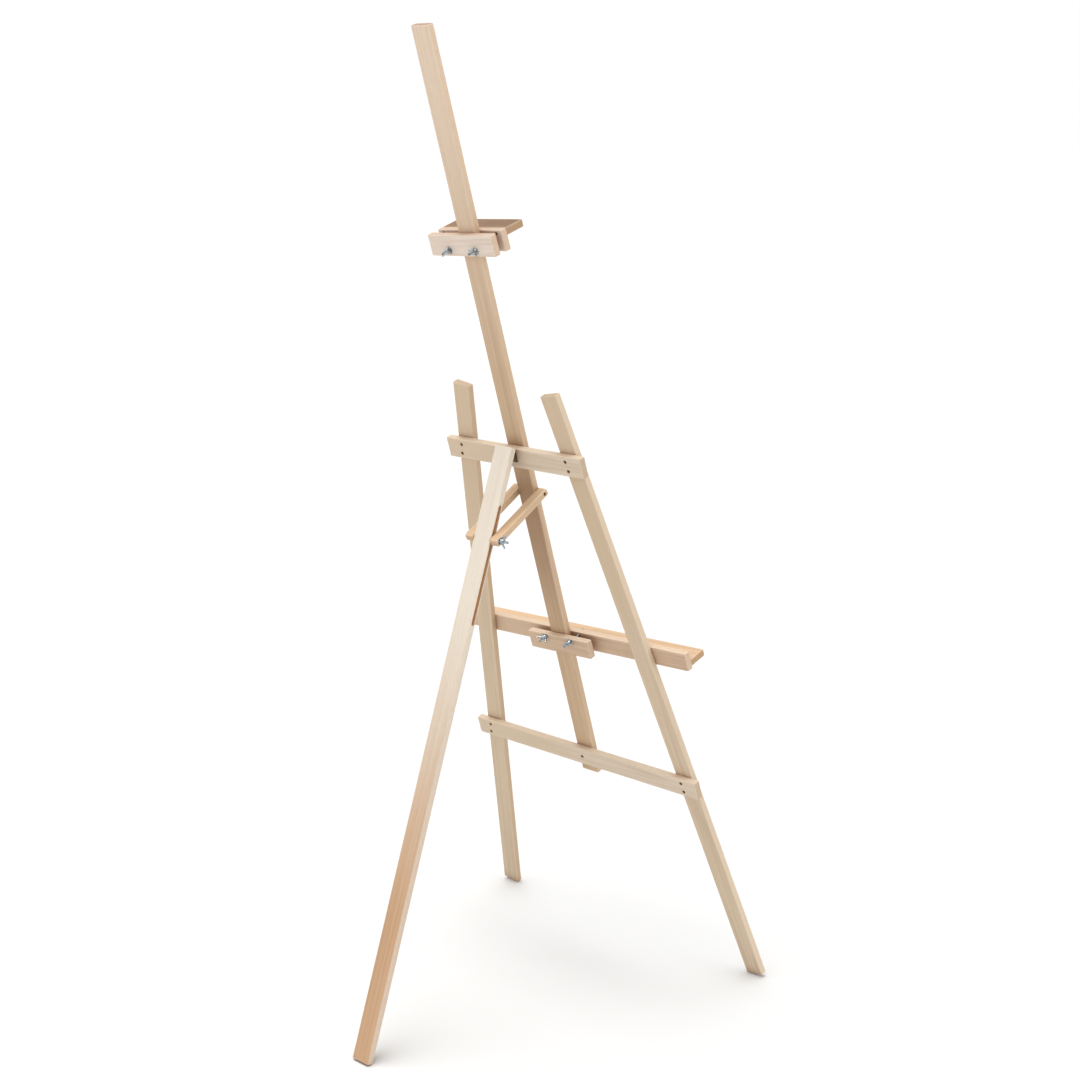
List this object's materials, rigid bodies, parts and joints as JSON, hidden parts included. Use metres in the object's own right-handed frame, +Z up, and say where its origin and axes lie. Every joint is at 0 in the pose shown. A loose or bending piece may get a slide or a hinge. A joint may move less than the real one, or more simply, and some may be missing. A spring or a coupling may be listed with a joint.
{
  "type": "wooden artist easel",
  "caption": "Folding A-frame floor easel of flat wooden laths, with a mast, a sliding canvas tray, a sliding top holder and a hinged rear leg stayed by two struts.",
  "frame": {"origin": "middle of the easel's footprint box, on the floor", "axes": "+Z up, the canvas faces -Y, the rear leg stands towards +Y, +X to the right seen from the front"},
  "size_m": [0.7208, 0.788, 1.8601],
  "materials": {
    "leg_wood": "sanded raw pine, satin",
    "mast_wood": "sanded raw pine, satin",
    "crossbar_wood": "sanded raw pine, satin",
    "rear_leg_wood": "sanded raw pine, satin",
    "strut_wood": "sanded raw pine, satin",
    "tray_wood": "sanded raw pine, satin",
    "holder_wood": "sanded raw pine, satin",
    "zinc_steel": "bright zinc plate",
    "screw_steel": "dull zinc plate",
    "hinge_steel": "plain rolled steel"
  },
  "bodies": {
    "frame": {"front_leg_left": "leg_wood", "front_leg_right": "leg_wood", "mast": "mast_wood", "upper_crossbar": "crossbar_wood", "lower_crossbar": "crossbar_wood", "upper_crossbar_screws": "screw_steel", "lower_crossbar_screws": "screw_steel", "hinge_frame_leaf": "hinge_steel", "hinge_pin": "hinge_steel", "hinge_frame_screws": "screw_steel", "strut_pivot_screws": "screw_steel"},
    "rear_leg": {"rear_leg": "rear_leg_wood", "hinge_leg_leaf": "hinge_steel", "hinge_leg_screws": "screw_steel"},
    "struts": {"strut_left": "strut_wood", "strut_right": "strut_wood", "strut_bolt": "zinc_steel", "strut_washer": "zinc_steel"},
    "strut_nut": {"strut_wing_nut": "zinc_steel"},
    "tray": {"tray_bar": "tray_wood", "tray_ledge": "tray_wood", "tray_clamp_block": "tray_wood", "tray_bolts": "zinc_steel", "tray_washers": "zinc_steel"},
    "top_holder": {"top_holder_block": "holder_wood", "top_holder_ledge": "holder_wood", "top_holder_clamp_block": "holder_wood", "top_holder_bolts": "zinc_steel", "top_holder_washers": "zinc_steel", "top_holder_screws": "screw_steel"},
    "tray_nut_left": {"tray_wing_nut_left": "zinc_steel"},
    "tray_nut_right": {"tray_wing_nut_right": "zinc_steel"},
    "top_holder_nut_left": {"top_holder_wing_nut_left": "zinc_steel"},
    "top_holder_nut_right": {"top_holder_wing_nut_right": "zinc_steel"}
  },
  "joints": [
    {"name": "rear_leg_fold", "type": "hinge", "parent": "frame", "child": "rear_leg", "pos_m": [0, -0.01717, 1.09782], "axis": [1, 0, 0], "range_deg": [-35, 8.5]},
    {"name": "strut_fold", "type": "hinge", "parent": "frame", "child": "struts", "pos_m": [0, -0.07143, 1.0116], "axis": [1, 0, 0], "range_deg": [-58, 14.5]},
    {"name": "strut_nut_turn", "type": "hinge", "parent": "struts", "child": "strut_nut", "pos_m": [0, 0.05097, 0.94164], "axis": [-1, 0, 0], "continuous": true},
    {"name": "tray_slide", "type": "slide", "parent": "frame", "child": "tray", "axis": [0, 0.299, 0.9542], "range_m": [-0.228, 0.14]},
    {"name": "top_holder_slide", "type": "slide", "parent": "frame", "child": "top_holder", "axis": [0, 0.299, 0.9542], "range_m": [-0.355, 0.355]},
    {"name": "tray_nut_left_turn", "type": "hinge", "parent": "tray", "child": "tray_nut_left", "pos_m": [-0.04047, -0.14639, 0.70217], "axis": [0, 0.9542, -0.299], "continuous": true},
    {"name": "tray_nut_right_turn", "type": "hinge", "parent": "tray", "child": "tray_nut_right", "pos_m": [0.02548, -0.14719, 0.69964], "axis": [0, 0.9542, -0.299], "continuous": true},
    {"name": "top_holder_nut_left_turn", "type": "hinge", "parent": "top_holder", "child": "top_holder_nut_left", "pos_m": [-0.02579, 0.09593, 1.47543], "axis": [0, 0.9542, -0.299], "continuous": true},
    {"name": "top_holder_nut_right_turn", "type": "hinge", "parent": "top_holder", "child": "top_holder_nut_right", "pos_m": [0.04017, 0.09524, 1.47324], "axis": [0, 0.9542, -0.299], "continuous": true}
  ],
  "couplings": [
    {"joint": "strut_fold", "follows": "rear_leg_fold", "ratio": 1.655}
  ]
}
